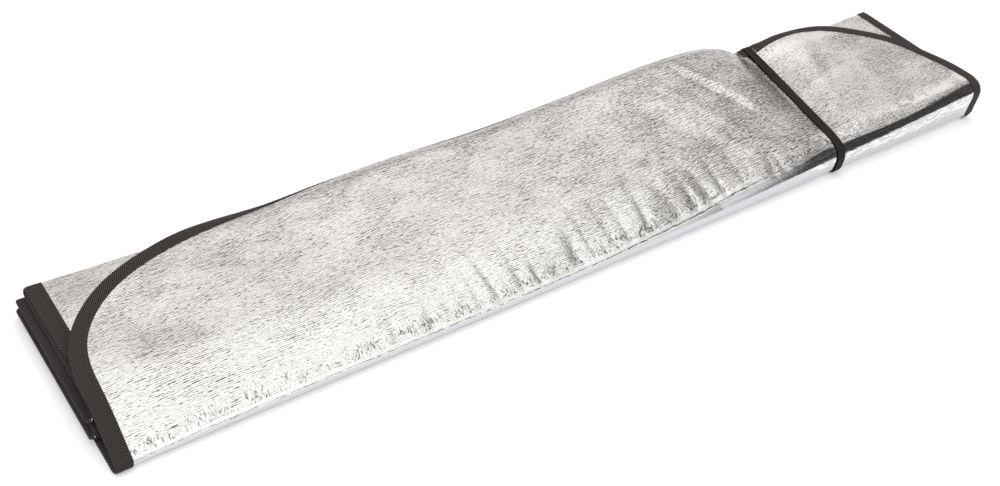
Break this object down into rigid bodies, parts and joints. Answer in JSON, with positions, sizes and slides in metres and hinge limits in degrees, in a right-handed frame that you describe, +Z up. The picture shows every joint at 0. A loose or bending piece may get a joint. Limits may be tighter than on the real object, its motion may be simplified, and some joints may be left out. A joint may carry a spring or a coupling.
{
  "type": "windscreen sunshade",
  "caption": "Foil-faced foam windscreen sunshade folded into a long flat package, with a woven tape over the sheet's edge and an elastic strap round it.",
  "frame": {"origin": "middle of the underside of the part's box", "axes": "+X along the folded package, +Y from its front fold to the back folds, +Z up from the side it lies on"},
  "size_m": [0.7074, 0.134, 0.0429],
  "materials": {
    "foil": "crinkled aluminium foil on both faces of the foam",
    "woven_tape": "dark woven binding tape with a row of stitches",
    "elastic": "dark woven elastic"
  },
  "bodies": {
    "root": {"foil_sheet": "foil", "edge_tape": "woven_tape", "elastic_strap": "elastic"}
  },
  "joints": []
}
